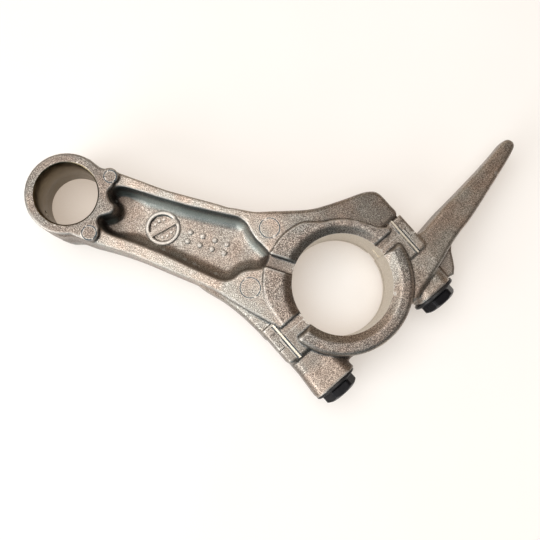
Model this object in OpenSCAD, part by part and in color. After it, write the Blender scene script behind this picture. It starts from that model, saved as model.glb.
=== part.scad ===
// Connecting rod of a small four-stroke engine: die-cast aluminium rod and
// cap with a stepped oblique joint, an oil dipper cast on the cap, and two
// flange bolts.
// Frame: origin at the centre of the big-end bore, mid-thickness.
// +Z runs along the crankpin, the small end lies toward -X, and the dipper
// points toward +Y. All lengths are in millimetres, angles in degrees.

/* [Bores] */
// distance between the big-end and small-end bore centres
centre_distance = 84; // [80:0.5:90]
// big-end (crankpin) bore diameter
big_bore_d = 30; // [29:0.1:31]
// small-end (piston pin) bore diameter
small_bore_d = 18; // [16:0.1:18.5]

/* [Small end] */
// outside diameter of the small-end eye
small_eye_d = 23.4; // [23:0.1:25]
// overall thickness of the small-end eye
small_eye_t = 20.8; // [20:0.1:22]
// diameter of the radial oil hole through the eye
oil_hole_d = 2.4; // [1.5:0.1:3]
// direction of the radial oil hole, measured from +X
oil_hole_angle = 225; // [200:1:250]

/* [Beam] */
// overall thickness across the beam flanges
beam_t = 18; // [17:0.1:19]
// thickness of the thin web left between the two pockets
web_t = 5.2; // [4:0.1:7]
// height of the raised casting marks on the web
mark_h = 0.5; // [0.3:0.1:1]
// width of the flange rail on each side of the pocket
rail_w = 2.9; // [2.5:0.1:3.4]
// half width of the beam beside the small end
beam_half_small = 10.7; // [10.3:0.1:11.2]

/* [Big end] */
// angle of the cap bolts below the rod axis
split_angle = 31; // [28:1:34]
// distance between the two cap bolt axes
bolt_pitch = 40.4; // [39.6:0.1:41.2]
// overall thickness across the raised cheeks around the crankpin bore
cheek_t = 18.3; // [18:0.1:19]
// overall thickness across the joint pads and the oil groove floor
pad_t = 14.6; // [14:0.1:15.4]
// outer radius of the raised ring on the cap
ring_r = 21; // [20.4:0.1:21.6]
// width of the open gap in the ring across the joint
ring_gap = 4.5; // [3:0.1:6]
// width of the oil groove between the rod cheeks
oil_groove_w = 3.6; // [2.5:0.1:5]
// outside radius of the bolt bosses
boss_r = 6.8; // [6.4:0.1:7.2]
// distance of the bolt seats from the crankpin centre
seat_a = 20.2; // [19.5:0.1:21]
// distance from the bore centre to the outboard step of the joint
step_p = 24.9; // [24.6:0.1:25.4]
// height of the outboard step of the joint
step_h = 2.5; // [1.5:0.1:3.5]
// width of the flat alignment rib beside each bolt
rib_w = 0.9; // [0.6:0.1:1.2]

/* [Oil dipper] */
// reach of the dipper tip from the crankpin centre
dipper_reach = 69.3; // [60:0.5:75]
// width of the dipper near its root
dipper_root_w = 11.5; // [9:0.5:13]
// width of the dipper at its tip
dipper_tip_w = 4.2; // [3:0.1:6]
// thickness of the dipper at its tip
dipper_tip_t = 6.4; // [4:0.2:8]

/* [Cap bolts] */
// nominal thread diameter
bolt_d = 7; // [6:0.1:7]
// length under the head
bolt_len = 32; // [28:0.5:34]
// width across the flats of the hexagon head
hex_af = 10; // [9:0.1:11]
// diameter of the flange under the head
bolt_flange_d = 14; // [12.5:0.1:14.5]
// height of the head including its flange
head_h = 4.2; // [3.8:0.1:6]

/* [Hidden] */
$fn = 96;
eps = 0.01;
big_r = big_bore_d / 2;
small_r = small_bore_d / 2;
eye_r = small_eye_d / 2;
cheek_h = cheek_t / 2;
pad_h = pad_t / 2;
beam_h = beam_t / 2;
cone_r = big_r + 2.3;
cone_z = pad_h + 0.3;
bolt_p = bolt_pitch / 2;
pad_p = bolt_p + 6.7;
rib_p = bolt_p + 3.15;
shoulder_h = boss_r - 0.3;
rib_h = 0.35;
dial_x = -55.6;
dial_r = 5.2;
tapped_d = bolt_d + 0.1;
clearance_d = bolt_d + 0.6;
flange_t = 1.2;
xs = -centre_distance;

rod();
rod_cap();
cap_bolt_upper();
cap_bolt_lower();

// ---- helpers -------------------------------------------------------------

function unit(v) = v / norm(v);
function xy(v) = [v[0], v[1]];

// corner b = [x, y, radius] between the neighbours a and c, as arc points
function corner(a, b, c) =
  let (p = xy(b), u = unit(xy(a) - p), v = unit(xy(c) - p),
       half = acos(max(-1, min(1, u * v))) / 2, r = b[2])
  r <= 0 || half > 89.5 ? [p] :
  let (m = p + unit(u + v) * r / sin(half),
       s = p + u * r / tan(half) - m, e = p + v * r / tan(half) - m,
       t0 = atan2(s[1], s[0]), turn = atan2(s[0] * e[1] - s[1] * e[0], s * e),
       n = max(2, ceil(abs(turn) / 9)))
  [for (i = [0:n]) m + r * [cos(t0 + turn * i / n), sin(t0 + turn * i / n)]];

// closed outline through corners given as [x, y, radius]
function rounded(c) =
  [for (i = [0:len(c) - 1])
    for (q = corner(c[(i + len(c) - 1) % len(c)], c[i], c[(i + 1) % len(c)])) q];

// x runs along the bolts toward the cap, y along the joint toward the dipper
module joint_frame() {
  rotate([0, 0, -split_angle]) children();
}

function joint_xy(a, p) =
  [a * cos(split_angle) + p * sin(split_angle),
   -a * sin(split_angle) + p * cos(split_angle)];

module slab(t) {
  linear_extrude(t, center = true) children();
}

module ring_2d(r_out, r_in) {
  difference() {
    circle(r_out);
    circle(r_in);
  }
}

// cylinder along the local x axis from a0 to a1, on the bolt axis at p
module along_bolt(a0, a1, r, p) {
  translate([a0, p, 0]) rotate([0, 90, 0]) cylinder(h = a1 - a0, r = r);
}

// ---- rod -----------------------------------------------------------------

module rod() {
  color([0.68, 0.64, 0.59]) {
    difference() {
      union() {
        translate([xs, 0, 0]) cylinder(h = small_eye_t, r = eye_r, center = true);
        small_end_pads();
        slab(beam_t) polygon(rounded(beam_corners()));
        slab(2 * shoulder_h) polygon(rounded(shoulder_corners()));
        slab(cheek_t) cheeks_2d();
        rod_bosses();
      }
      rod_joint_cut();
      bearing_bores();
      for (s = [-1, 1]) scale([1, 1, s]) beam_pocket();
      oil_grooves();
      joint_relief(-1);
      oil_hole();
      joint_frame() for (s = [-1, 1])
        along_bolt(seat_a - bolt_len - 1.2, step_h + 1, tapped_d / 2, s * bolt_p);
    }
    alignment_ribs(-4.8, 0);
    web_marks();
  }
}

// plan outline of the beam and its flare into the big end
function beam_corners() = [
  [xs + 4, beam_half_small + 0.2, 0],
  [xs + 26, beam_half_small - 0.1, 90],
  [-31, beam_half_small + 1.4, 24],
  [-20.5, 16, 3],
  [-12, 14, 0],
  [-12, -17.2, 0],
  [-18, -18.2, 6],
  [-27, -15.8, 40],
  [xs + 30, -beam_half_small - 0.6, 90],
  [xs + 4, -beam_half_small - 0.2, 0]
];

// two ejector pads at the corners of the eye and one lug over the pocket
module small_end_pads() {
  for (q = [[10.3, 8.9, 2.0], [9.9, -8.6, 2.4], [11.8, -0.2, 2.3]])
    translate([xs + q[0], q[1], 0])
      cylinder(h = small_eye_t, r = q[2], center = true);
}

// bolt bosses and the outboard joint pads
module rod_bosses() {
  joint_frame() for (s = [-1, 1]) {
    along_bolt(-13.6, step_h, boss_r, s * bolt_p);
    joint_pad(s, -4.8, step_h);
  }
}

// flat pad beside the joint, s = 1 on the dipper side, from a0 to a1
module joint_pad(s, a0, a1) {
  translate([a0, s > 0 ? bolt_p - 6 : -pad_p, -pad_h])
    cube([a1 - a0, 6 + pad_p - bolt_p, pad_t]);
}

// thin ribs that stand on the joint pads, in line on the rod and the cap
module alignment_ribs(a0, a1) {
  joint_frame() for (s = [-1, 1], z = [-1, 1])
    translate([a0, s * rib_p - rib_w / 2, z > 0 ? pad_h - 0.2 : -pad_h - rib_h])
      cube([a1 - a0, rib_w, rib_h + 0.2]);
}

// blank date dial and a row of plain dots, raised on the web
module web_marks() {
  translate([dial_x, 0, web_t / 2 - 0.2]) {
    linear_extrude(mark_h + 0.2) {
      ring_2d(dial_r, dial_r - 1.2);
      rotate([0, 0, 48]) square([2 * dial_r - 1.4, 1.2], center = true);
    }
    for (i = [0:3]) translate([8.5 + 3.6 * i, 0, 0]) cylinder(h = mark_h + 0.2, r = 0.9);
  }
}

// plan outline of the oblique shoulders behind the bosses
function shoulder_corners() = [
  concat(joint_xy(-0.1, pad_p - 0.4), 0),
  concat(joint_xy(-14.2, pad_p + 0.2), 4.5),
  [-24, 12.5, 8],
  [-24, -13, 0],
  [-32, -15.2, 0],
  concat(joint_xy(-11.5, -pad_p - 0.6), 20),
  concat(joint_xy(-0.1, -pad_p + 0.2), 0)
];

// raised cheeks either side of the oil groove, wider at the groove and joint
module cheeks_2d() {
  difference() {
    union() {
      circle(ring_r - 1.95);
      intersection() {
        circle(ring_r + 2.3);
        polygon([[0, 0], [-34, 21], [-34, -24], [-22, -32]]);
      }
      intersection() {
        circle(ring_r + 0.3);
        union() {
          polygon([[0, 0], [-22, -32], [-8, -40]]);
          joint_frame() translate([-7, 0]) square([8, 30]);
        }
      }
    }
    circle(big_r);
    joint_frame() translate([-ring_gap / 2, -40]) square([60, 80]);
  }
}

// everything beyond the stepped joint belongs to the cap
module rod_joint_cut() {
  joint_frame() {
    translate([0, -step_p, -20]) cube([60, 2 * step_p, 40]);
    for (s = [-1, 1]) translate([step_h, s > 0 ? step_p - 1 : -60, -20])
      cube([60, 61 - step_p, 40]);
    for (z = [pad_h, -pad_h - 20]) translate([-ring_gap / 2, -40, z])
      cube([60, 80, 20]);
  }
}

// crankpin bore with flared mouths, and the piston pin bore with chamfers
module bearing_bores() {
  cylinder(h = 40, r = big_r, center = true);
  for (s = [-1, 1]) scale([1, 1, s])
    translate([0, 0, cone_z]) cylinder(h = cheek_h - cone_z + eps,
                                       r1 = big_r, r2 = cone_r);
  translate([xs, 0, 0]) {
    cylinder(h = 40, r = small_r, center = true);
    for (s = [-1, 1]) scale([1, 1, s])
      translate([0, 0, small_eye_t / 2 - 0.4])
        cylinder(h = 0.4 + eps, r1 = small_r, r2 = small_r + 0.4);
  }
}

// drafted recess that leaves the thin web of the I section
module beam_pocket() {
  mid = (xs + 11 - 23) / 2;
  depth = beam_h - web_t / 2;
  difference() {
    translate([mid, 0, beam_h + eps]) rotate([180, 0, 0])
      linear_extrude(depth + eps, scale = [0.94, 0.84], slices = 1, $fn = 13)
        scale([1, -1]) translate([-mid, 0]) polygon(rounded(pocket_corners()));
    translate([xs + 11.8, -0.2, 0]) cylinder(h = 40, r = 2.3);
    translate([xs, 0, 0]) cylinder(h = 40, r = eye_r - 0.7);
  }
}

function pocket_corners() = [
  [xs + 10.2, 0, 2],
  [xs + 10.6, beam_half_small - rail_w - 0.2, 2.4],
  [xs + 26, beam_half_small - rail_w - 0.3, 60],
  [-33, beam_half_small - rail_w + 1.5, 3.2],
  [-29, 4.6, 4],
  [-22.2, 2.4, 1.2],
  [-22.6, -2.4, 1.2],
  [-28, -5.2, 6],
  [-32.4, -beam_half_small + rail_w - 3.2, 3],
  [xs + 32, -beam_half_small + rail_w + 0.5, 60],
  [xs + 10.8, -beam_half_small + rail_w + 1.2, 2.4]
];

module oil_grooves() {
  for (s = [-1, 1]) scale([1, 1, s])
    translate([-24, -oil_groove_w / 2 - 0.2, pad_h])
      cube([24, oil_groove_w, 10]);
}

// shallow axial relief in the bore wall along the joint, side = -1 for the rod
module joint_relief(side) {
  joint_frame() for (s = [-1, 1])
    translate([side < 0 ? -1.6 : -eps, s > 0 ? big_r - 1 : -big_r - 0.3, -cheek_h])
      cube([1.6 + eps, 1.3, cheek_t]);
}

module oil_hole() {
  translate([xs, 0, 0]) rotate([0, 0, oil_hole_angle]) rotate([0, 90, 0])
    cylinder(h = 20, r = oil_hole_d / 2);
}

// ---- cap -----------------------------------------------------------------

module rod_cap() {
  color([0.66, 0.62, 0.57]) {
    difference() {
      union() {
        cap_body();
        dipper();
      }
      bearing_bores();
      joint_frame() for (s = [-1, 1])
        along_bolt(-1, seat_a + 1, clearance_d / 2, s * bolt_p);
      joint_relief(1);
    }
    alignment_ribs(0, 7.7);
  }
}

module cap_body() {
  difference() {
    union() {
      slab(cheek_t) difference() {
        circle(ring_r);
        joint_frame() translate([ring_gap / 2 - 60, -30]) square([60, 60]);
      }
      cap_bosses();
    }
    joint_frame() {
      translate([-60, -step_p, -20]) cube([60, 2 * step_p, 40]);
      for (s = [-1, 1]) translate([-60, s > 0 ? step_p : -60, -20])
        cube([60 + step_h, 60 - step_p, 40]);
    }
  }
}

module cap_bosses() {
  joint_frame() for (s = [-1, 1]) {
    along_bolt(0, seat_a, boss_r - 0.2, s * bolt_p);
    along_bolt(seat_a - 3.6, seat_a, bolt_flange_d / 2 + 0.3, s * bolt_p);
    // web between the boss and the bore wall
    translate([0, s > 0 ? 10 : -bolt_p, -boss_r + 0.6])
      cube([seat_a - 1.5, bolt_p - 10, 2 * boss_r - 1.2]);
    joint_pad(s, 0, 8.3);
  }
}

// tapering blade cast on the cap, thinning toward the tip, with a thin
// gusset between its root and the upper bolt seat
module dipper() {
  joint_frame() {
    intersection() {
      slab(40) polygon(rounded(dipper_corners()));
      rotate([90, 0, 90]) linear_extrude(60, center = true) polygon([
        [10, -boss_r], [26, -boss_r], [dipper_reach + 1, -dipper_tip_t / 2],
        [dipper_reach + 1, dipper_tip_t / 2], [26, boss_r], [10, boss_r]
      ]);
    }
    slab(boss_r) polygon(rounded([[8, 22, 0], [8, 33, 0], [13, 34, 0], [14.4, 31.4, 3],
                                  [19.2, 28.6, 0], [seat_a, 27.6, 0], [seat_a, 22, 0]]));
  }
}

function dipper_corners() = [
  [step_h + 0.3, 15, 0],
  [step_h + 0.3, pad_p - 0.4, 0],
  [2.2, 40, 30],
  [-1 - (dipper_tip_w - 4.2) / 2, dipper_reach, dipper_tip_w * 0.42],
  [3.2 + (dipper_tip_w - 4.2) / 2, dipper_reach, dipper_tip_w * 0.42],
  [step_h + dipper_root_w, 34, 60],
  [seat_a - 0.9, 11.5, 0],
  [10, 13, 0]
];

// ---- cap bolts -----------------------------------------------------------

module cap_bolt(p) {
  color([0.10, 0.10, 0.11])
  joint_frame() translate([seat_a, p, 0]) rotate([0, 90, 0]) {
    cylinder(h = flange_t, r = bolt_flange_d / 2);
    intersection() {
      cylinder(h = head_h, r = hex_af / sqrt(3), $fn = 6);
      translate([0, 0, head_h - 20]) cylinder(h = 20, r1 = 20, r2 = hex_af * 0.47);
    }
    translate([0, 0, -bolt_len + 0.8]) cylinder(h = bolt_len, r = bolt_d / 2);
    translate([0, 0, -bolt_len]) cylinder(h = 0.8 + eps,
                                          r1 = bolt_d / 2 - 0.8, r2 = bolt_d / 2);
  }
}

module cap_bolt_upper() {
  cap_bolt(bolt_p);
}

module cap_bolt_lower() {
  cap_bolt(-bolt_p);
}
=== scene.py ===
"""Visual model of the connecting rod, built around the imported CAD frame.

The two castings are distance fields: plan outlines with draft, rounded edges and
fillets, meshed on a fine grid and then machined with boolean cuts, as the real
ones are cast and then bored, split and drilled.
Lengths are millimetres in the CAD frame until a mesh is made; meshes are in metres.
Joint coordinates: a runs along the bolts toward the cap, p along the joint toward
the dipper. Both faces of the rod are alike, so most shapes use the height |z|.
"""
import math

import bmesh
import bpy
import numpy as np
from mathutils import Matrix, Vector


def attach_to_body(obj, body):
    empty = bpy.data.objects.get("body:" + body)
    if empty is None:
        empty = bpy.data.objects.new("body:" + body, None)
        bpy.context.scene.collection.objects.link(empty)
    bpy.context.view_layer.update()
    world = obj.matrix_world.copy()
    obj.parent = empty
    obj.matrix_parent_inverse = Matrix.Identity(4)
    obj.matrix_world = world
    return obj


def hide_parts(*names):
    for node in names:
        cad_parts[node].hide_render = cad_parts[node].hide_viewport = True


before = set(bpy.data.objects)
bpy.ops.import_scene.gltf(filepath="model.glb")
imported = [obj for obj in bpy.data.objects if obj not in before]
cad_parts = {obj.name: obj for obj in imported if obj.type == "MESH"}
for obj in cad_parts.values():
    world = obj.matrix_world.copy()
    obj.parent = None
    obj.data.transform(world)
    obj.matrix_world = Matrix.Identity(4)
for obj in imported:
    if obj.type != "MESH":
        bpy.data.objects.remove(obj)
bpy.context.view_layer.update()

MM = 0.001
GRID = 0.4

# Sizes shared with part.scad. In names, R is a radius, H a height above the middle
# plane, X a place along the rod, and A and P are places in joint coordinates.
EYE_X = -84.0
EYE_R = 11.7
EYE_H = 10.4
PIN_R = 9.0
BORE_R = 15.0
BEAM_H = 9.0
WEB_H = 2.6
CHEEK_H = 9.15
PAD_H = 7.3
SPLIT = math.radians(31.0)
BOLT_P = 20.2
SEAT_A = 20.2
STEP_P = 24.9
STEP_A = 2.5
PAD_P = 26.9
RIB_P = 23.35
DIAL_X = -55.6

# big-end bore as cast: its radius, and where its mouth starts to flare and ends
CAST_BORE_R = 14.6
CONE_H = 7.6
CONE_R = 17.3

# air between a bolt's flange and its seat, so that the two faces never touch
SEAT_GAP = 0.02
# the rod lies on its lower faces, a hair above the paper
FLOOR_Z = -10.45

BEAM_DRAFT = math.tan(math.radians(3.0))
POCKET_DRAFT = math.tan(math.radians(9.0))
PAD_DRAFT = 0.03

# low and high corners round each casting; the cap's are in joint coordinates
ROD_REGION = (-97.0, -31.0, -11.2), (17.0, 31.0, 11.2)
CAP_REGION = (-2.0, -29.0, -11.2), (23.0, 71.0, 11.2)
# cuts reach this far past the joint in plan, and this far through both faces
FAR = 60.0
THROUGH = 20.0
# the lower bolt and the upper one, by the sign of p
SIDES = (-1, 1)


# ---- distance fields ---------------------------------------------------------


def length(a, b):
    return np.sqrt(a * a + b * b)


def join(a, b, fillet):
    """Both shapes, with a concave fillet of that radius between them."""
    soft = length(np.maximum(fillet - a, 0.0), np.maximum(fillet - b, 0.0))
    return np.maximum(fillet, np.minimum(a, b)) - soft


def meet(a, b, edge):
    """What both shapes hold, with a rounded edge of that radius."""
    soft = length(np.maximum(edge + a, 0.0), np.maximum(edge + b, 0.0))
    return np.minimum(-edge, np.maximum(a, b)) + soft


def carve(a, b, edge):
    """Shape a without shape b, with a rounded edge where they meet."""
    return meet(a, -b, edge)


def spline(points, steps=5):
    """Closed smooth curve through the points."""
    b = np.asarray(points, float)
    a, c, d = np.roll(b, 1, 0), np.roll(b, -1, 0), np.roll(b, -2, 0)
    rows = []
    for t in np.arange(steps) / steps:
        rows.append(
            0.5 * (2 * b + (c - a) * t + (2 * a - 5 * b + 4 * c - d) * t**2
                   + (3 * b - 3 * c + d - a) * t**3)
        )
    return np.stack(rows, 1).reshape(-1, 2)


def outline(points, x, y):
    """Signed distance in plan from a closed outline, negative inside."""
    nearest = np.full(np.broadcast(x, y).shape, np.inf)
    inside = np.zeros(nearest.shape, bool)
    for (ax, ay), (bx, by) in zip(points, np.roll(points, -1, axis=0)):
        ex, ey = bx - ax, by - ay
        wx, wy = x - ax, y - ay
        t = np.clip((wx * ex + wy * ey) / (ex * ex + ey * ey), 0.0, 1.0)
        nearest = np.minimum(nearest, (wx - ex * t) ** 2 + (wy - ey * t) ** 2)
        if ey:
            inside ^= ((y < ay) != (y < by)) & (wx < wy * ex / ey)
    return np.where(inside, -1.0, 1.0) * np.sqrt(nearest)


def to_joint(x, y):
    return (x * math.cos(SPLIT) - y * math.sin(SPLIT),
            x * math.sin(SPLIT) + y * math.cos(SPLIT))


def from_joint(a, p):
    return (a * math.cos(SPLIT) + p * math.sin(SPLIT),
            p * math.cos(SPLIT) - a * math.sin(SPLIT))


def cone(radius, height):
    """The bore as cast, with its flared mouths."""
    slope = (CONE_R - CAST_BORE_R) / (CHEEK_H - CONE_H)
    flare = np.maximum(height - CONE_H, 0.0) * slope
    return (radius - CAST_BORE_R - flare) / math.sqrt(1.0 + slope * slope)


# ---- rod casting -------------------------------------------------------------

PLATE = spline([
    (-84, 10.3), (-78, 10.5), (-72.7, 10.7), (-66, 10.5), (-58.1, 10.2), (-50.5, 10.5),
    (-42.9, 10.9), (-35, 11.1), (-27.3, 12.0), (-21, 12.9), (-16.8, 13.6), (-11, 14.4),
    (-6, 10), (-6, -10), (-11, -18), (-14, -17.6), (-17.4, -17.0), (-20, -16.5),
    (-23, -15.9), (-28, -14.8), (-33.1, -13.6), (-39.5, -12.6), (-48.9, -11.8),
    (-55.1, -11.2), (-61.3, -10.8), (-67.3, -10.8), (-72.5, -11.0), (-78, -10.9), (-84, -10.4),
], 4)

POCKET = spline([
    (-72.7, 3.9), (-72.1, 5.8), (-70.2, 7.1), (-66.4, 7.5), (-57.2, 7.6), (-49.5, 7.9),
    (-43.9, 8.4), (-38.2, 8.9), (-34.8, 9.2), (-32.2, 8.4), (-30.4, 6.7), (-28.1, 4.9),
    (-25.4, 3.5), (-23.0, 1.8), (-22.8, -0.9), (-24.2, -3.2), (-27.9, -4.9), (-29.6, -6.5),
    (-30.8, -8.3), (-32.7, -9.6), (-34.9, -9.9), (-38, -9.6), (-44, -8.9), (-52.1, -7.9),
    (-60, -7.3), (-67.8, -7.2), (-71, -6.5), (-72.7, -4.9), (-72.5, -3.3), (-71.1, -2.3),
    (-69.8, -1.3), (-69.4, 0.0), (-70.0, 1.3), (-71.4, 2.1),
])

ARM_UPPER = spline([
    (-38, 10.4), (-31.3, 12.0), (-26, 14.1), (-22.7, 15.3), (-15, 18.5), (-7.8, 23.6),
    (-2.7, 27.7), (0, 29.2), (1.8, 29.5), (3.8, 28.8), (6.5, 27.2), (8.9, 25.8),
    (9.3, 24.4), (8.2, 22.1), (7.2, 20.6), (4, 16), (-10, 12), (-24, 6), (-34, 6),
])

ARM_LOWER = spline([
    (-40, -12.9), (-31.4, -15.4), (-25, -17.8), (-19, -20.7), (-15.8, -22.3), (-14.4, -20.5),
    (-13.5, -16.6), (-14, -12), (-22, -6), (-34, -9),
])

CHEEK_UPPER = spline([
    (-22.75, 1.0), (-22.6, 3.35), (-22.3, 5.1), (-21.2, 8), (-19.7, 10.45), (-17.65, 12.8),
    (-15.7, 14), (-11.4, 15.4), (-8.6, 17.0), (-5, 18.4), (0, 19.1), (4, 18.9), (6.2, 19.4),
    (7.9, 19.9), (8.7, 19.0), (8, 15), (0, 12), (-10, 9), (-14, 1),
])

CHEEK_LOWER = spline([
    (-23.0, -1.5), (-23.15, -4), (-22.3, -7.5), (-20.8, -10.2), (-18.8, -12.6),
    (-15.9, -15), (-13.2, -16.9), (-12.0, -16.9), (-11, -15), (-9, -12), (-12, -6), (-15, -1.5),
])

EYE_COLLAR = spline([
    (-84, 5), (-83, 10.4), (-80, 10.7), (-77.4, 9.9), (-76.0, 10.3), (-74.0, 11.1),
    (-72.2, 10.3), (-71.6, 8.6), (-72.3, 7.2), (-72.0, 5.6), (-70.6, 3.4), (-68.8, 1.5),
    (-68.8, -1.8), (-70.6, -4.0), (-72.0, -5.6), (-72.0, -6.9), (-71.6, -8.8), (-72.4, -10.4),
    (-74.2, -10.9), (-76.2, -10.7), (-79, -10.6), (-82.5, -10.5), (-84, -5),
])

# ejector pin marks: x, y, radius, height of the face
EJECTORS = (
    (-25.4, 9.0, 3.1, BEAM_H - 0.3), (-25.4, -9.4, 3.1, BEAM_H - 0.3),
    (-73.75, 8.7, 1.95, EYE_H), (-74.06, -8.7, 2.2, EYE_H),
)


def eye_casting(x, y, height):
    """The small-end boss with its three pads, standing above the beam flanges."""
    depth = EYE_H - height
    ring = length(x - EYE_X, y) - EYE_R - 0.2 - 0.02 * depth
    collar = outline(EYE_COLLAR, x, y) - 0.2 + 0.1 * depth
    return meet(np.minimum(ring, collar), -depth, 0.5)


def rod_pads(a, p, height):
    """Joint pads beside the bolts, with the level floor between cheeks and cap."""
    across = np.abs(p)
    start = np.where(p > 0, -4.2, -5.2)
    block = meet(across - PAD_P - 0.05, height - PAD_H, np.where(p > 0, 0.9, 1.3))
    block = meet(block, start - a, 0.3)
    floor = np.maximum(np.maximum(across - 20.5, height - PAD_H), -9.0 - a)
    return np.minimum(block, floor)


def beam(x, y, height):
    """Shank and shoulders before the pocket: flat on top, lower toward the arms' edges."""
    draft = (BEAM_H - height) * BEAM_DRAFT
    plate = outline(PLATE, x, y)
    plan = join(plate - draft, outline(ARM_UPPER, x, y) - 0.02 * height, 1.0)
    flange_h = BEAM_H - 0.35 * np.clip((x + 40.0) / 10.0, 0.0, 1.0)
    top = flange_h - 0.08 * np.maximum(plate, 0.0)
    body = meet(plan, height - top, 0.5 + np.clip(0.4 * plate, 0.0, 0.8))
    arm_lower = meet(outline(ARM_LOWER, x, y) + 0.03 * height, height - 6.8, 2.0)
    return join(body, arm_lower, 0.5)


def carve_slot(body, x, y, a, height):
    """Parts the two cheeks: a slot toward the pocket and a gap along the joint."""
    slot = np.maximum(np.maximum(np.abs(y + 0.25) - 2.0, x + 10.0), -25.0 - x)
    slot = meet(slot, PAD_H - height, 0.5)
    gap = np.maximum(np.abs(a) - 2.3, PAD_H - height)
    return carve(carve(body, slot, 0.3), gap, 0.3)


def carve_pocket(body, x, y, z):
    """Pockets on both faces, tighter at the foot near the eye, and the dial's recess."""
    height = np.abs(z)
    walls = outline(POCKET, x, y) + (BEAM_H - height) * POCKET_DRAFT
    bowl = 1.2 + 2.2 * np.clip((x + 68.5) / 6.0, 0.0, 1.0)
    body = carve(body, meet(walls, WEB_H - height, bowl), 0.5)
    dial = np.maximum(length(x - DIAL_X, y) - 4.0, WEB_H - 0.6 - z)
    return carve(body, dial, 0.1)


def rod_casting(x, y, z):
    """The rod before machining, with some metal left over the joint."""
    height = np.abs(z)
    a, p = to_joint(x, y)
    body = np.minimum(beam(x, y, height), rod_pads(a, p, height))
    cheeks = np.minimum(outline(CHEEK_UPPER, x, y), outline(CHEEK_LOWER, x, y))
    body = join(body, meet(cheeks, height - CHEEK_H, 0.2), 0.3)
    body = join(body, eye_casting(x, y, height), 0.7)
    body = carve_slot(body, x, y, a, height)
    body = carve_pocket(body, x, y, z)
    body = carve(body, cone(length(x, y), height), 0.3)
    return np.maximum(body, a - STEP_A - 0.7)


# ---- cap casting, in joint coordinates ---------------------------------------

DIPPER = spline([
    (3.7, 29.2), (3.3, 33.4), (2.7, 38.0), (2.4, 43), (1.9, 50), (1.2, 58), (0.4, 64.5),
    (-0.1, 67.6), (0.4, 69.6), (2.0, 70.4), (3.4, 69.8), (4.3, 68.0), (5.4, 64.6),
    (7.2, 58), (9.0, 51.3), (11.0, 43.4), (12.1, 37.0), (13.4, 32.0), (14.9, 27.0),
    (16.2, 22.0), (17.5, 16.6), (18.6, 13.0), (16, 9), (8, 12), (4, 20), (3, 26),
])

GUSSET = [
    (10, 34.5), (13.2, 34.0), (14.7, 32.6), (17.0, 31.3), (18.8, 30.1), (20.3, 28.5),
    (19.9, 27.0), (18, 20), (10, 22),
]

# half the dipper's thickness along p
DIPPER_P = (10.0, 26.0, 40.0, 55.0, 70.0)
DIPPER_H = (6.9, 6.9, 5.7, 4.5, 3.2)


def raised_ring(a, p, radius, height, draft):
    """Outer half of the big end, with squared ends a little short of the joint."""
    ring = meet(radius - 21.0 - draft, height - CHEEK_H, 1.3)
    ends = np.where(p > 0, 1.6, 2.7)
    return meet(ring, ends - a, 1.5)


def bolt_bosses(a, p, height):
    """Both bosses down to their seats, with the web between them."""
    flare = np.clip((a - 12.0) / 8.0, 0.0, 1.0) * 0.6
    half = np.where(p > 0, 6.0, 6.45 + flare)
    bosses = meet(np.abs(np.abs(p) - BOLT_P) - half, height - half, 3.4)
    bosses = meet(bosses, a - SEAT_A, 0.2)
    webs = meet(np.maximum(np.abs(p) - BOLT_P, a - 18.0), height - 4.6, 1.0)
    return join(bosses, webs, 0.8)


def cap_pads(a, p, height, draft):
    """Joint pads beside the bolts, against the rod's."""
    pads = meet(np.abs(p) - PAD_P, a - 8.0, 1.5)
    return meet(pads - draft * 0.5, height - PAD_H, np.where(p > 0, 0.7, 1.2))


def cap_casting(a, p, z):
    """The cap before machining, with some metal left over the joint."""
    height = np.abs(z)
    radius = length(a, p)
    draft = (PAD_H - height) * PAD_DRAFT
    blade = outline(DIPPER, a, p) + 0.05 * height
    blade = meet(blade, height - np.interp(p, DIPPER_P, DIPPER_H), 1.2)
    floor = np.maximum(np.maximum(radius - 19.0, -a), height - PAD_H)

    body = bolt_bosses(a, p, height)
    body = join(body, meet(outline(GUSSET, a, p), height - 2.2, 0.5), 0.6)
    body = join(body, blade, 0.5)
    body = join(body, cap_pads(a, p, height, draft), 0.3)
    body = np.minimum(body, floor)
    body = join(body, raised_ring(a, p, radius, height, draft), 0.35)
    return carve(np.maximum(body, -a - 0.5), cone(radius, height), 0.15)


# ---- meshing -----------------------------------------------------------------


def sample(shape, low, high, step):
    """The shape's distances on a grid, and the grid's coordinates along each axis."""
    axes = [np.arange(start, stop + step, step) for start, stop in zip(low, high)]
    return shape(*np.meshgrid(*axes, indexing="ij", sparse=True)), axes


def shifted(array, axis, start, count):
    """That many layers of the array along an axis, from layer start."""
    index = [slice(None)] * 3
    index[axis] = slice(start, start + count)
    return array[tuple(index)]


def crossings(field, solid, cells, k):
    """Which grid edges along axis k pass through the surface, and how far along."""
    near, far = shifted(field, k, 0, cells[k]), shifted(field, k, 1, cells[k])
    crossing = shifted(solid, k, 0, cells[k]) != shifted(solid, k, 1, cells[k])
    part = np.where(crossing, near / np.where(crossing, near - far, 1.0), 0.0)
    return crossing, part


def cell_centres(edges, cells):
    """Mean of the crossings round each grid cell, and which cells have any."""
    total = np.zeros(cells + [3])
    count = np.zeros(cells)
    for k, (crossing, part) in enumerate(edges):
        u, v = (k + 1) % 3, (k + 2) % 3
        for du in (0, 1):
            for dv in (0, 1):
                pick = shifted(shifted(crossing, u, du, cells[u]), v, dv, cells[v])
                along = shifted(shifted(part, u, du, cells[u]), v, dv, cells[v])
                count += pick
                total[..., k] += along
                total[..., u] += du * pick
                total[..., v] += dv * pick
    used = count > 0
    index = np.stack(np.meshgrid(*[np.arange(n) for n in cells], indexing="ij"), -1)
    return index[used] + total[used] / count[used][:, None], used


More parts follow.
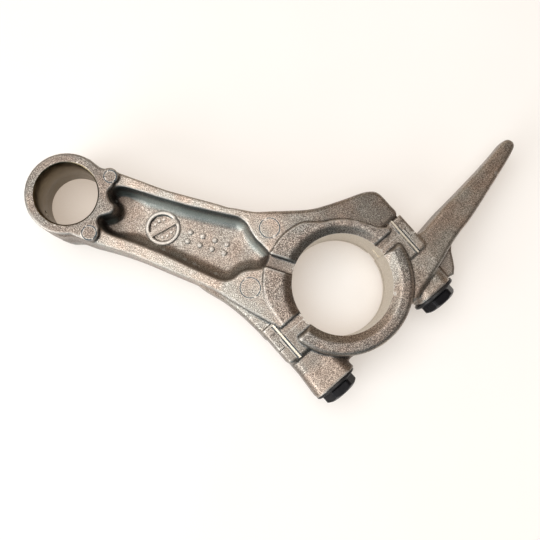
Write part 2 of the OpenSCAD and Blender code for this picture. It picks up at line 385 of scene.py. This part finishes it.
def edge_quads(crossing, solid, number, cells, k):
    """One quad round each crossed edge along axis k, facing out of the solid."""
    u, v = (k + 1) % 3, (k + 2) % 3
    inner = shifted(shifted(crossing, u, 1, cells[u] - 1), v, 1, cells[v] - 1)
    outward = shifted(solid, k, 0, cells[k])
    outward = shifted(shifted(outward, u, 1, cells[u] - 1), v, 1, cells[v] - 1)[inner]
    ring = [shifted(shifted(number, u, du, cells[u] - 1), v, dv, cells[v] - 1)[inner]
            for du, dv in ((0, 0), (1, 0), (1, 1), (0, 1))]
    face = np.stack(ring, 1)
    return np.where(outward[:, None], face, face[:, ::-1])


def surface(shape, low, high, step):
    """Vertices and quads of the closed surface where shape(x, y, z) is zero."""
    field, axes = sample(shape, low, high, step)
    solid = field < 0.0
    cells = [n - 1 for n in field.shape]
    edges = [crossings(field, solid, cells, k) for k in range(3)]
    points, used = cell_centres(edges, cells)
    points = points * step + np.array([axis[0] for axis in axes])
    number = np.cumsum(used).reshape(cells) - 1
    quads = [edge_quads(edges[k][0], solid, number, cells, k) for k in range(3)]
    return points, np.concatenate(quads)


def settle(shape, points, step):
    """Moves the points onto the exact surface."""
    h = 0.2 * step
    value = shape(*points.T)
    slope = np.stack([shape(*(points + h * axis).T) - value for axis in np.eye(3)], 1) / h
    slope /= np.maximum((slope * slope).sum(1), 0.25)[:, None]
    points = points - np.clip(slope * value[:, None], -0.5 * step, 0.5 * step)
    again = shape(*points.T)
    return points - np.clip(slope * again[:, None], -0.2 * step, 0.2 * step)


def link_object(name, data):
    obj = bpy.data.objects.new(name, data)
    bpy.context.scene.collection.objects.link(obj)
    return obj


def mesh_object(name, points, faces, material):
    """Makes the object of points in millimetres and their faces."""
    mesh = bpy.data.meshes.new(name)
    mesh.from_pydata((np.asarray(points) * MM).tolist(), [], np.asarray(faces).tolist())
    mesh.materials.append(material)
    mesh.shade_smooth()
    return link_object(name, mesh)


# ---- tools for crisp features -------------------------------------------------


def revolve(name, profile, material, place=Matrix(), segments=160, copies=((0, 0),)):
    """Solids of revolution about +Z of a closed profile of (radius, height), then placed."""
    bm = bmesh.new()
    spans = [(j, (j + 1) % len(profile)) for j in range(len(profile))]
    spans = [(j, k) for j, k in spans if profile[j][0] or profile[k][0]]
    for x, y in copies:
        columns = []
        for i in range(segments):
            turn = 2 * math.pi * i / segments
            columns.append([bm.verts.new((x + r * math.cos(turn), y + r * math.sin(turn), h))
                            for r, h in profile])
        for i in range(segments):
            left, right = columns[i], columns[(i + 1) % segments]
            for j, k in spans:
                bm.faces.new((left[j], right[j], right[k], left[k]))
    bmesh.ops.remove_doubles(bm, verts=bm.verts, dist=1e-5)
    return finish_solid(name, bm, material, place)


def prism(name, points, low, high, material, place=Matrix()):
    """An outline in plan, drawn out from one height to another, then placed."""
    bm = bmesh.new()
    base = [bm.verts.new((x, y, low)) for x, y in points]
    top = [bm.verts.new((x, y, high)) for x, y in points]
    bm.faces.new(base[::-1])
    bm.faces.new(top)
    n = len(points)
    for i in range(n):
        bm.faces.new((base[i], base[(i + 1) % n], top[(i + 1) % n], top[i]))
    return finish_solid(name, bm, material, place)


def finish_solid(name, bm, material, place):
    """Makes the object of a solid drawn in millimetres."""
    bmesh.ops.recalc_face_normals(bm, faces=bm.faces)
    bmesh.ops.transform(bm, matrix=Matrix.Scale(MM, 4) @ place, verts=bm.verts)
    mesh = bpy.data.meshes.new(name)
    bm.to_mesh(mesh)
    bm.free()
    mesh.materials.append(material)
    mesh.shade_smooth()
    return link_object(name, mesh)


def disc(radius, low, high):
    """Profile of a plain cylinder."""
    return [(0, low), (radius, low), (radius, high), (0, high)]


def box_points(x0, x1, y0, y1):
    return [(x0, y0), (x1, y0), (x1, y1), (x0, y1)]


def apply_boolean(obj, tool, operation):
    """Adds or cuts the tool, keeps the tool's material on the faces it makes."""
    step = obj.modifiers.new(operation, "BOOLEAN")
    step.operation = operation
    step.solver = "MANIFOLD"
    step.material_mode = "TRANSFER"
    step.object = tool
    bpy.context.view_layer.update()
    result = bpy.data.meshes.new_from_object(
        obj.evaluated_get(bpy.context.evaluated_depsgraph_get()))
    obj.modifiers.clear()
    old = obj.data
    obj.data = result
    result.name = old.name
    bpy.data.meshes.remove(old)
    bpy.data.objects.remove(tool)


def cut(obj, tool):
    apply_boolean(obj, tool, "DIFFERENCE")


def add(obj, tool):
    apply_boolean(obj, tool, "UNION")


JOINT = Matrix.Rotation(-SPLIT, 4, "Z")
FLIP = Matrix.Rotation(math.pi, 4, "X")


def at(x, y, z=0.0):
    """Moves a solid to that place."""
    return Matrix.Translation((x, y, z))


def along_bolt(side):
    """Places a revolved solid so that its axis is the bolt's, height along a."""
    return JOINT @ at(0, side * BOLT_P) @ Matrix.Rotation(math.pi / 2, 4, "Y")


# ---- materials ---------------------------------------------------------------


class Shader:
    """A Principled material with short calls for its nodes."""

    def __init__(self, name, roughness, metallic):
        self.material = bpy.data.materials.new(name)
        self.material.use_nodes = True
        self.nodes = self.material.node_tree.nodes
        self.links = self.material.node_tree.links
        self.surface = self.nodes["Principled BSDF"]
        self.surface.inputs["Roughness"].default_value = roughness
        self.surface.inputs["Metallic"].default_value = metallic
        self.place = self.nodes.new("ShaderNodeTexCoord").outputs["Object"]

    def node(self, kind, values=None, **links):
        """A node with some values set and some inputs linked."""
        node = self.nodes.new("ShaderNode" + kind)
        for key, value in (values or {}).items():
            if key in node.inputs:
                node.inputs[key].default_value = value
            else:
                setattr(node, key, value)
        for key, source in links.items():
            self.links.new(source, node.inputs[key.replace("_", " ")])
        return node

    def axes(self):
        """The three coordinates of the shaded point, in metres."""
        split = self.node("SeparateXYZ", Vector=self.place)
        return split.outputs["X"], split.outputs["Y"], split.outputs["Z"]

    def size(self, source):
        """Its value without its sign."""
        return self.node("Math", {"operation": "ABSOLUTE"}, Value=source).outputs[0]

    def pointiness(self):
        """Below a half in hollows and above it on edges."""
        return self.node("NewGeometry").outputs["Pointiness"]

    def noise(self, size_mm, detail=2.0, roughness=0.5):
        values = {"Scale": 1.0 / (size_mm * MM), "Detail": detail, "Roughness": roughness}
        return self.node("TexNoise", values, Vector=self.place).outputs["Fac"]

    def ramp(self, source, *stops):
        node = self.node("ValToRGB", Fac=source)
        points = node.color_ramp.elements
        while len(points) < len(stops):
            points.new(0.5)
        for point, (place, colour) in zip(points, stops):
            point.position = place
            point.color = (*colour, 1.0)
        return node.outputs["Color"]

    def curve(self, source, low, high, out_low, out_high):
        """Goes evenly from one value to the other, and stays level outside that span."""
        values = {"From Min": low, "From Max": high, "To Min": out_low, "To Max": out_high}
        return self.node("MapRange", values, Value=source).outputs["Result"]

    def span(self, source, low_mm, high_mm, out_low, out_high):
        """A curve over a coordinate."""
        return self.curve(source, low_mm * MM, high_mm * MM, out_low, out_high)

    def times(self, a, b):
        node = self.node("Math", {"operation": "MULTIPLY"})
        self.links.new(a, node.inputs[0])
        self.links.new(b, node.inputs[1])
        return node.outputs[0]

    def mix(self, factor, a, b, blend="MIX"):
        """Goes from a to b by the factor; each of the three is a value or an output."""
        node = self.nodes.new("ShaderNodeMix")
        node.data_type = "RGBA"
        node.blend_type = blend
        for place, source in ((0, factor), (6, a), (7, b)):
            if isinstance(source, (int, float, tuple)):
                node.inputs[place].default_value = source
            else:
                self.links.new(source, node.inputs[place])
        return node.outputs[2]

    def bump(self, height, distance_mm, strength=1.0, under=None):
        values = {"Distance": distance_mm * MM, "Strength": strength}
        node = self.node("Bump", values, Height=height)
        if under:
            self.links.new(under, node.inputs["Normal"])
        return node.outputs["Normal"]

    def connect(self, **sources):
        """Links the outputs to the Principled inputs of those names."""
        for key, source in sources.items():
            self.links.new(source, self.surface.inputs[key.replace("_", " ")])
        return self.material


def cast_grain(s, grain, raised):
    """Fine bright grain on the faces, and a darker one on the raised faces."""
    fine = s.ramp(grain, (0.32, (0.11, 0.092, 0.080)), (0.5, (0.33, 0.297, 0.27)),
                  (0.66, (0.72, 0.67, 0.62)))
    dark = s.ramp(grain, (0.34, (0.055, 0.047, 0.042)), (0.5, (0.185, 0.160, 0.145)),
                  (0.64, (0.48, 0.44, 0.40)))
    return s.mix(raised, fine, dark)


def cast_mottle_and_light(s, colour, x, raised):
    """Stains, warm and cool patches, and painted light that goes along the rod."""
    stain = s.ramp(s.noise(5.0, 3.0), (0.35, (0.84, 0.80, 0.77)), (0.65, (1.0, 0.99, 0.97)))
    colour = s.mix(1.0, colour, stain, "MULTIPLY")
    tint = s.ramp(s.noise(9.0, 2.0), (0.38, (0.91, 0.97, 0.99)), (0.62, (1.04, 0.97, 0.925)))
    colour = s.mix(1.0, colour, tint, "MULTIPLY")
    along = s.span(x, -100.0, 50.0, 0.0, 1.0)
    # painted light on the lower faces: darker at the eye and round the big end, brighter along
    # the shank and toward the dipper's tip
    light_along_rod = s.ramp(along, (0.16, (0.66, 0.66, 0.66)), (0.22, (1.0, 0.98, 0.96)),
                     (0.45, (0.98, 0.96, 0.94)), (0.60, (0.66, 0.65, 0.64)),
                     (0.72, (0.72, 0.70, 0.68)), (0.90, (1.15, 1.10, 1.06)))
    lower = s.curve(raised, 0.0, 1.0, 1.0, 0.0)
    return s.mix(lower, colour, light_along_rod, "MULTIPLY")


def cast_pocket(s, x, aside):
    """One inside the plan of the pocket and nothing outside it."""
    width = s.span(aside, 9.5, 10.5, 1.0, 0.0)
    inner = s.times(width, s.span(x, -24.0, -22.0, 1.0, 0.0))
    return s.times(inner, s.span(x, -74.0, -73.0, 0.0, 1.0))


def cast_painted_shade(s, colour, x, aside, height, pocket):
    """Painted shade: brown on the low faces, a dark shadow at the pocket's end, and dark in the
    slot between the cheeks.
    """
    # painted shade on the low faces, most on the pocket floor
    low_face_shade = s.span(height, 2.2, 6.0, 0.36, 0.0)
    colour = s.mix(low_face_shade, colour, (0.08, 0.062, 0.052, 1.0))
    # painted shadow in the pocket's deep end beside the eye
    pocket_end_shadow = s.times(s.span(x, -70.0, -63.0, 0.75, 0.0), s.span(height, 6.0, 8.0, 1.0, 0.0))
    colour = s.mix(s.times(pocket_end_shadow, pocket), colour, (0.05, 0.030, 0.020, 1.0))
    # painted shade in the slot between the cheeks
    slot = s.times(s.span(aside, 1.9, 2.4, 0.55, 0.0), s.span(x, -26.0, -23.0, 0.0, 1.0))
    slot = s.times(slot, s.span(x, -20.0, -14.0, 1.0, 0.0))
    return s.mix(slot, colour, (0.05, 0.040, 0.035, 1.0))


def cast_walls(s, colour, height, pocket):
    """Painted reflection and shade on the pocket wall on the +Y side: pale teal at its foot and
    dark teal at its top.
    """
    facing = s.node("SeparateXYZ", Vector=s.node("NewGeometry").outputs["True Normal"])
    wall = s.times(s.curve(facing.outputs["Y"], -0.9, -0.35, 0.7, 0.0), pocket)
    # painted reflection: pale teal on the foot of the wall that faces -Y
    wall_foot_reflection = s.times(wall, s.span(height, 4.5, 6.5, 1.0, 0.0))
    # painted shade: dark teal on the top of that wall
    top = s.times(wall, s.span(height, 4.8, 7.2, 0.0, 1.0))
    colour = s.mix(wall_foot_reflection, colour, (0.50, 0.62, 0.61, 1.0))
    return s.mix(top, colour, (0.012, 0.055, 0.075, 1.0))


def cast_edges(s, colour, height):
    """Darker highest faces, dark teal painted shade in hollows and painted highlights on edges.
    """
    boss = s.span(height, 9.3, 10.1, 0.0, 0.25)
    colour = s.mix(boss, colour, (0.03, 0.026, 0.022, 1.0))
    bend = s.pointiness()
    # painted shade in hollows, stronger on the higher faces
    hollow_shade_strength = s.span(height, 4.5, 8.0, 0.6, 0.85)
    hollow = s.times(s.curve(bend, 0.42, 0.486, 1.0, 0.0), hollow_shade_strength)
    colour = s.mix(hollow, colour, (0.008, 0.032, 0.050, 1.0))
    # painted highlight on edges
    edge_highlight = s.curve(bend, 0.513, 0.56, 0.0, 0.6)
    return s.mix(edge_highlight, colour, (0.56, 0.53, 0.49, 1.0))


def cast_aluminium():
    """Grainy casting, darker on the raised faces, with painted shade and reflection in the
    pocket, painted shade in hollows, and painted light along the rod and on edges.
    """
    s = Shader("cast_aluminium", 0.45, 0.88)
    x, y, z = s.axes()
    aside, height = s.size(y), s.size(z)
    raised = s.span(height, 9.0, 9.1, 0.0, 1.0)
    grain = s.noise(0.28, 2.0, 0.6)
    pocket = cast_pocket(s, x, aside)
    colour = cast_grain(s, grain, raised)
    colour = cast_mottle_and_light(s, colour, x, raised)
    colour = cast_painted_shade(s, colour, x, aside, height, pocket)
    colour = cast_walls(s, colour, height, pocket)
    colour = cast_edges(s, colour, height)
    rough = s.curve(grain, 0.3, 0.7, 0.50, 0.36)
    normal = s.bump(s.noise(0.8, 3.0), 0.05, 0.5)
    normal = s.bump(grain, 0.035, 0.6, normal)
    return s.connect(Base_Color=colour, Roughness=rough, Normal=normal)


def machined_aluminium():
    """Bores and joint faces, with fine turned lines along Z."""
    s = Shader("machined_aluminium", 0.25, 1.0)
    streak = s.noise(0.5, 3.0)
    colour = s.ramp(streak, (0.3, (0.45, 0.40, 0.325)), (0.7, (0.58, 0.53, 0.45)))
    rough = s.curve(streak, 0.3, 0.7, 0.42, 0.30)
    turned = s.node("TexWave", {"bands_direction": "Z", "Scale": 1400.0, "Distortion": 0.4},
                    Vector=s.place).outputs["Fac"]
    return s.connect(Base_Color=colour, Roughness=rough, Normal=s.bump(turned, 0.01, 0.3))


def shaded_pin_bore():
    """Small-end bore, painted dark brown for the shade inside it."""
    s = Shader("shaded_pin_bore", 0.32, 1.0)
    bore_mottle = s.noise(3.0, 3.0)
    # painted shade: a dark brown tone for the inside of the small-end bore
    colour = s.ramp(bore_mottle, (0.3, (0.11, 0.085, 0.05)), (0.7, (0.20, 0.165, 0.11)))
    rough = s.curve(bore_mottle, 0.3, 0.7, 0.28, 0.42)
    return s.connect(Base_Color=colour, Roughness=rough, Normal=s.bump(s.noise(0.5), 0.01, 0.4))


def black_steel():
    """Black oxide on the bolts, a little rubbed on the edges."""
    s = Shader("black_steel", 0.30, 0.1)
    s.surface.inputs["Specular IOR Level"].default_value = 0.1
    wear = s.noise(1.6, 4.0, 0.6)
    colour = s.ramp(wear, (0.35, (0.004, 0.004, 0.005)), (0.75, (0.013, 0.012, 0.014)))
    rub = s.curve(s.pointiness(), 0.53, 0.62, 0.0, 0.5)
    colour = s.mix(rub, colour, (0.12, 0.115, 0.11, 1.0))
    rough = s.curve(wear, 0.3, 0.7, 0.34, 0.20)
    return s.connect(Base_Color=colour, Roughness=rough, Normal=s.bump(s.noise(0.3), 0.02, 0.4))


def studio_paper():
    """White paper lit through from below, so that shadows on it stay faint, with painted shade
    where the rod hides it: darker and browner round the rod and inside the bores.
    """
    s = Shader("studio_paper", 0.8, 0.0)
    tone = s.ramp(s.noise(60.0, 2.0), (0.3, (0.49, 0.50, 0.51)), (0.7, (0.51, 0.52, 0.53)))
    s.surface.inputs["Specular IOR Level"].default_value = 0.0
    s.surface.inputs["Emission Strength"].default_value = 1.0
    # painted shade: less glow and a browner tone where the rod hides the paper
    open_sky = s.node("AmbientOcclusion", {"Distance": 0.06}).outputs["AO"]
    glow = s.ramp(open_sky, (0.05, (0.39, 0.31, 0.24)), (0.36, (0.47, 0.41, 0.355)))
    shade = s.ramp(open_sky, (0.05, (0.85, 0.74, 0.64)), (0.36, (1.0, 1.0, 1.0)))
    tone = s.mix(1.0, tone, shade, "MULTIPLY")
    return s.connect(Base_Color=tone, Emission_Color=glow)


CAST = cast_aluminium()
MACHINED = machined_aluminium()
SHADED_PIN_BORE = shaded_pin_bore()
BLACK = black_steel()


# ---- the castings, machined ----------------------------------------------------

# ring left in the big-end bore by the boring tool: radius and height
TOOL_MARK = [(14.0, -6.0), (15.35, -6.0), (15.35, -5.5), (14.0, -5.5)]
# small-end bore with its countersunk mouths: radius and height
PIN_BORE = [(0, -11.4), (10.4, -11.4), (PIN_R, -10), (PIN_R, 10), (10.4, 11.4), (0, 11.4)]
# bolt holes: tapped in the rod down to TAPPED_A, with clearance in the cap
TAPPED_R = 3.55
TAPPED_A = -13.0
CLEARANCE_R = 3.8
# dark line round the step's corner, in joint coordinates on the dipper's side
SEAM = [(0.0, 24.7), (2.8, 24.7), (2.8, 27.4), (2.2, 27.4), (2.2, 25.05), (0.0, 25.05)]


def hole_profile(radius, low, high):
    """Tapped hole: a shallow ring every millimetre and a countersunk mouth."""
    points = [(0, low - 1.2), (radius, low)]
    for i in range(int(high - low - 1.5)):
        points += [(radius + 0.25, low + 0.5 + i), (radius, low + 1.0 + i)]
    return points + [(radius, high - 0.6), (radius + 1.2, high + 0.6), (0, high + 0.6)]


def boxes(name, rectangles, low, high, material):
    """Boxes in joint coordinates, given as (a0, a1, p0, p1), on both faces of the rod."""
    bm = bmesh.new()
    for a0, a1, p0, p1 in rectangles:
        for z0, z1 in ((low, high), (-high, -low)):
            size = Matrix.Diagonal((a1 - a0, p1 - p0, z1 - z0, 1))
            middle = at((a0 + a1) / 2, (p0 + p1) / 2, (z0 + z1) / 2)
            bmesh.ops.create_cube(bm, size=1.0, matrix=middle @ size)
    return finish_solid(name, bm, material, JOINT)


def bore_big_end(obj):
    """This casting's half of the crankpin bore, with the ring left by the tool."""
    cut(obj, revolve("bore", disc(BORE_R, -THROUGH, THROUGH), MACHINED, segments=240))
    cut(obj, revolve("tool_mark", TOOL_MARK, MACHINED, segments=240))


def machine_joint(obj, a0, a1, relief):
    """Rib with its grooves beside each bolt from a0 to a1, seam, and relief in the bore."""
    grooves = [(a0, a1, side * RIB_P - 0.75, side * RIB_P + 0.75) for side in SIDES]
    ribs = [(a0, a1, side * RIB_P - 0.28, side * RIB_P + 0.28) for side in SIDES]
    cut(obj, boxes("groove", grooves, PAD_H - 0.5, PAD_H + 1.5, CAST))
    add(obj, boxes("rib", ribs, PAD_H - 0.8, PAD_H + 0.3, MACHINED))
    for side in SIDES:
        seam = [(a, side * p) for a, p in SEAM]
        cut(obj, prism("seam", seam, PAD_H - 0.8, PAD_H + 1.5, CAST, JOINT))
        cut(obj, prism("seam", seam, -PAD_H - 1.5, 0.8 - PAD_H, CAST, JOINT))
    notch = [(*relief, *sorted((side * 13.5, side * 15.2))) for side in SIDES]
    cut(obj, boxes("relief", notch, -0.01, 12.0, MACHINED))


def drill_oil_hole(rod):
    """Radial hole through the eye's wall, on the side away from the shank."""
    outward = at(EYE_X, 0) @ Matrix.Rotation(math.radians(225), 4, "Z")
    outward = outward @ Matrix.Rotation(math.pi / 2, 4, "Y")
    cut(rod, revolve("oil_hole", disc(1.2, 6.0, 14.0), MACHINED, outward, 40))


def mark_ejectors(rod):
    """Thin rings round the ejector pins, on both faces."""
    for x, y, radius, top in EJECTORS:
        inner = radius - 0.3
        groove = [(inner, top - 0.2), (radius, top - 0.2), (radius, 12), (inner, 12)]
        cut(rod, revolve("ejector", groove, CAST, at(x, y), 64))
        cut(rod, revolve("ejector", groove, CAST, FLIP @ at(x, -y), 64))


def add_marks(rod):
    """Blank date dial and plain dots, raised on the web of the front face."""
    low, high = WEB_H - 0.9, WEB_H + 0.75
    dial = at(DIAL_X, 0)
    rim = [(3.9, low), (4.0, high - 0.1), (4.1, high), (5.05, high), (5.15, high - 0.1),
           (5.3, low)]
    add(rod, revolve("dial", rim, CAST, dial, 96))
    turn = dial @ Matrix.Rotation(math.radians(48), 4, "Z")
    add(rod, prism("bar", box_points(-4.4, 4.4, -0.8, 0.8), low, high, CAST, turn))
    peg = [(0, low), (0.4, low), (0.35, WEB_H), (0, WEB_H)]
    months = [(1.5 * i, side * (2.5 - 0.3 * abs(i))) for i in (-1, 0, 1) for side in SIDES]
    add(rod, revolve("month", peg, CAST, turn, 16, months))
    dot = [(0, low), (0.9, low), (0.8, high - 0.2), (0.6, high - 0.1), (0, high - 0.1)]
    dots = [(x, y) for x in (-47.4, -43.6, -39.8, -36.0) for y in (-1.4, 1.4)]
    add(rod, revolve("dot", dot, CAST, Matrix(), 32, dots))


def make_rod():
    points, quads = surface(rod_casting, *ROD_REGION, GRID)
    rod = mesh_object("rod_casting", settle(rod_casting, points, GRID), quads, CAST)

    joint = [(0, -STEP_P), (0, STEP_P), (STEP_A, STEP_P), (STEP_A, FAR), (FAR, FAR),
             (FAR, -FAR), (STEP_A, -FAR), (STEP_A, -STEP_P)]
    cut(rod, prism("joint", joint, -THROUGH, THROUGH, MACHINED, JOINT))
    bore_big_end(rod)
    cut(rod, revolve("pin_bore", PIN_BORE, SHADED_PIN_BORE, at(EYE_X, 0), 200))
    drill_oil_hole(rod)
    tapped = hole_profile(TAPPED_R, TAPPED_A, 0.0)
    for side in SIDES:
        cut(rod, revolve("tapped", tapped, MACHINED, along_bolt(side), 64))
    machine_joint(rod, -4.4, 0.0, (-1.6, 0.0))
    mark_ejectors(rod)
    add_marks(rod)
    return rod


def make_cap():
    points, quads = surface(cap_casting, *CAP_REGION, GRID)
    points = settle(cap_casting, points, GRID)
    points = np.stack([*from_joint(points[:, 0], points[:, 1]), points[:, 2]], 1)
    cap = mesh_object("cap_casting", points, quads, CAST)

    # a hair of air over the step, so that its two sides never touch
    seam = STEP_A + 0.22
    inner = STEP_P - 0.12
    # the dipper overhangs the joint, so the cut stops at its root
    root = 28.2
    joint = [(0, inner), (0, -inner), (seam, -inner), (seam, -FAR), (-FAR, -FAR),
             (-FAR, root), (seam, root), (seam, inner)]
    cut(cap, prism("joint", joint, -THROUGH, THROUGH, MACHINED, JOINT))
    bore_big_end(cap)
    clearance = disc(CLEARANCE_R, -3.0, 30.0)
    for side in SIDES:
        cut(cap, revolve("clearance", clearance, MACHINED, along_bolt(side), 64))
    machine_joint(cap, 0.0, 7.7, (0.0, 1.6))
    return cap


# ---- bolts ---------------------------------------------------------------------

BOLT_SEGMENTS = 96
BOLT_LENGTH = 32.0
THREAD_LENGTH = 20.0
THREAD_DEPTH = 0.55
PITCH = 1.0
BOLT_R = 3.45
SHANK_R = 3.4
FLANGE_R = 7.0
# across the flats, halved
HEX_R = 5.0
# above the seat
HEAD_H = 4.2


def thread_rings(turn, tip):
    """Rings up a helical rolled thread, thinner at the tip and fading at its end."""
    rings = []
    end = tip + THREAD_LENGTH
    for height in np.arange(tip + 0.5, end, 0.125):
        phase = (height - turn / (2 * math.pi)) % PITCH
        crest = np.clip(1.3 * np.abs(2 * phase - 1) - 0.1, 0.0, 1.0)
        depth = THREAD_DEPTH * min(1.0, (end - height) / 1.5)
        lead = max(0.0, 1.0 - (height - tip) / 1.2) * 0.7
        rings.append((BOLT_R - np.maximum(depth * (1 - crest), lead), height))
    return rings


def head_rings(turn):
    """Rings up the washer flange and the chamfered hexagon with its dished top."""
    sixth = math.pi / 3
    hexagon = HEX_R / np.cos((turn + sixth / 2) % sixth - sixth / 2)
    hexagon = np.minimum(hexagon, 5.62)
    chamfer = (hexagon - 4.55) * 0.62
    return [
        (3.7, SEAT_A + SEAT_GAP), (6.8, SEAT_A + SEAT_GAP),
        (FLANGE_R, SEAT_A + 0.15), (FLANGE_R, SEAT_A + 0.75), (6.8, SEAT_A + 1.0),
        (np.maximum(hexagon + 0.25, 5.6), SEAT_A + 1.35),
        (hexagon, SEAT_A + 1.6),
        (hexagon, SEAT_A + 4.15 - chamfer),
        (hexagon - 0.12, SEAT_A + 4.15 - chamfer + 0.08),
        (4.45, SEAT_A + HEAD_H), (4.0, SEAT_A + HEAD_H), (3.7, SEAT_A + 4.05),
    ]


def make_bolt(name, side):
    """Flange bolt: rolled thread, plain shank, washer flange and chamfered hexagon."""
    turn = np.arange(BOLT_SEGMENTS) * 2 * math.pi / BOLT_SEGMENTS
    tip = SEAT_A - BOLT_LENGTH
    rings = [(2.4, tip), *thread_rings(turn, tip)]
    rings += [(SHANK_R, tip + THREAD_LENGTH), (SHANK_R, SEAT_A - 0.3), *head_rings(turn)]

    bm = bmesh.new()
    levels = []
    for ring in rings:
        radius, height = (np.broadcast_to(value, turn.shape) for value in ring)
        levels.append([bm.verts.new((r * math.cos(t), r * math.sin(t), h))
                       for r, h, t in zip(radius, height, turn)])
    for lower, upper in zip(levels, levels[1:]):
        for i in range(BOLT_SEGMENTS):
            j = (i + 1) % BOLT_SEGMENTS
            bm.faces.new((lower[i], lower[j], upper[j], upper[i]))
    bm.faces.new(levels[0][::-1])
    bm.faces.new(levels[-1])
    return finish_solid(name, bm, BLACK, along_bolt(side))


def smooth_except_edges(obj, degrees):
    """Smooth shading, with edges sharper than that angle left crisp."""
    obj.data.shade_smooth()
    obj.data.set_sharp_from_angle(angle=math.radians(degrees))


# ---- stage -------------------------------------------------------------------


def floor():
    """A sheet of paper, two metres to each side."""
    size = 2000.0
    mesh = bpy.data.meshes.new("floor")
    corners = [(x * MM, y * MM, FLOOR_Z * MM) for x, y in box_points(-size, size, -size, size)]
    mesh.from_pydata(corners, [], [(0, 1, 2, 3)])
    mesh.materials.append(studio_paper())
    link_object("floor", mesh)


def area_light(name, place, size, power):
    """A round panel of almost white light, aimed at the middle of the rod."""
    middle = Vector((-0.03, 0.0, 0.0))
    light = bpy.data.lights.new(name, "AREA")
    light.shape = "DISK"
    light.size = size
    light.energy = power
    light.color = (1.0, 0.98, 0.955)
    obj = link_object(name, light)
    obj.location = place
    aim = middle - Vector(place)
    obj.rotation_euler = aim.to_track_quat("-Z", "Y").to_euler()


def across(tree, coordinate, *colours):
    """Three colours spread over a direction's coordinate, from -1 to 1."""
    span = tree.nodes.new("ShaderNodeMapRange")
    span.inputs["From Min"].default_value = -1.0
    tree.links.new(coordinate, span.inputs["Value"])
    ramp = tree.nodes.new("ShaderNodeValToRGB")
    ramp.color_ramp.elements.new(0.5)
    for stop, colour in zip(ramp.color_ramp.elements, colours):
        stop.color = (*colour, 1.0)
    tree.links.new(span.outputs["Result"], ramp.inputs["Fac"])
    return ramp.outputs["Color"]


def room():
    """Dim surroundings, teal toward -Y and warm toward +Y; the camera sees one plain tone."""
    world = bpy.data.worlds.new("studio")
    world.use_nodes = True
    tree = world.node_tree
    nodes, links = tree.nodes, tree.links
    toward = nodes.new("ShaderNodeSeparateXYZ")
    links.new(nodes.new("ShaderNodeTexCoord").outputs["Generated"], toward.inputs[0])
    tones = nodes.new("ShaderNodeMix")
    tones.data_type = "RGBA"
    tones.blend_type = "MULTIPLY"
    tones.inputs[0].default_value = 1.0
    along_y = across(tree, toward.outputs["Y"], (0.01, 0.14, 0.22), (0.09, 0.09, 0.085),
                     (0.50, 0.38, 0.27))
    along_x = across(tree, toward.outputs["X"], (1.0, 1.0, 0.95), (0.7, 0.7, 0.7),
                     (0.42, 0.35, 0.30))
    links.new(along_y, tones.inputs[6])
    links.new(along_x, tones.inputs[7])
    seen = nodes.new("ShaderNodeMix")
    seen.data_type = "RGBA"
    links.new(nodes.new("ShaderNodeLightPath").outputs["Is Camera Ray"], seen.inputs[0])
    links.new(tones.outputs[2], seen.inputs[6])
    seen.inputs[7].default_value = (0.62, 0.59, 0.55, 1.0)
    links.new(seen.outputs[2], nodes["Background"].inputs["Color"])
    nodes["Background"].inputs["Strength"].default_value = 1.5
    return world


def studio():
    """A white panel above and a smaller one at the lower left, in a dim room."""
    bpy.context.scene.world = room()
    area_light("above", (-0.27, -0.06, 0.88), 1.0, 8.6)
    area_light("left", (-0.52, -0.66, 0.36), 0.7, 7.5)
    bpy.context.scene.view_settings.view_transform = "Standard"


def camera():
    """The photograph's view: almost straight down, turned so that the dipper points up."""
    place = Matrix.Translation((-0.024696, -0.025474, 0.214779))
    tilt = Vector((-0.0999368, 0.0481765, 0.0))
    roll = 0.311347
    data = bpy.data.cameras.new("camera")
    data.lens = 47.67
    data.sensor_width = 36.0
    data.clip_start = 0.01
    obj = link_object("camera", data)
    turned = Matrix.Rotation(roll, 4, "Z") @ Matrix.Rotation(-tilt.length, 4, tilt)
    obj.matrix_world = place @ turned
    bpy.context.scene.camera = obj


def attach(obj, node, body):
    """Shows the object in place of the CAD node, moving with that body."""
    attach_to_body(obj, body)
    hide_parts(node)


camera()
studio()
floor()

rod = make_rod()
cap = make_cap()
for casting in (rod, cap):
    smooth_except_edges(casting, 50)
attach(rod, "rod", "rod")
attach(cap, "rod_cap", "cap")
for side, place in ((1, "upper"), (-1, "lower")):
    bolt = make_bolt(f"flange_bolt_{place}", side)
    smooth_except_edges(bolt, 35)
    attach(bolt, f"cap_bolt_{place}", f"bolt_{place}")
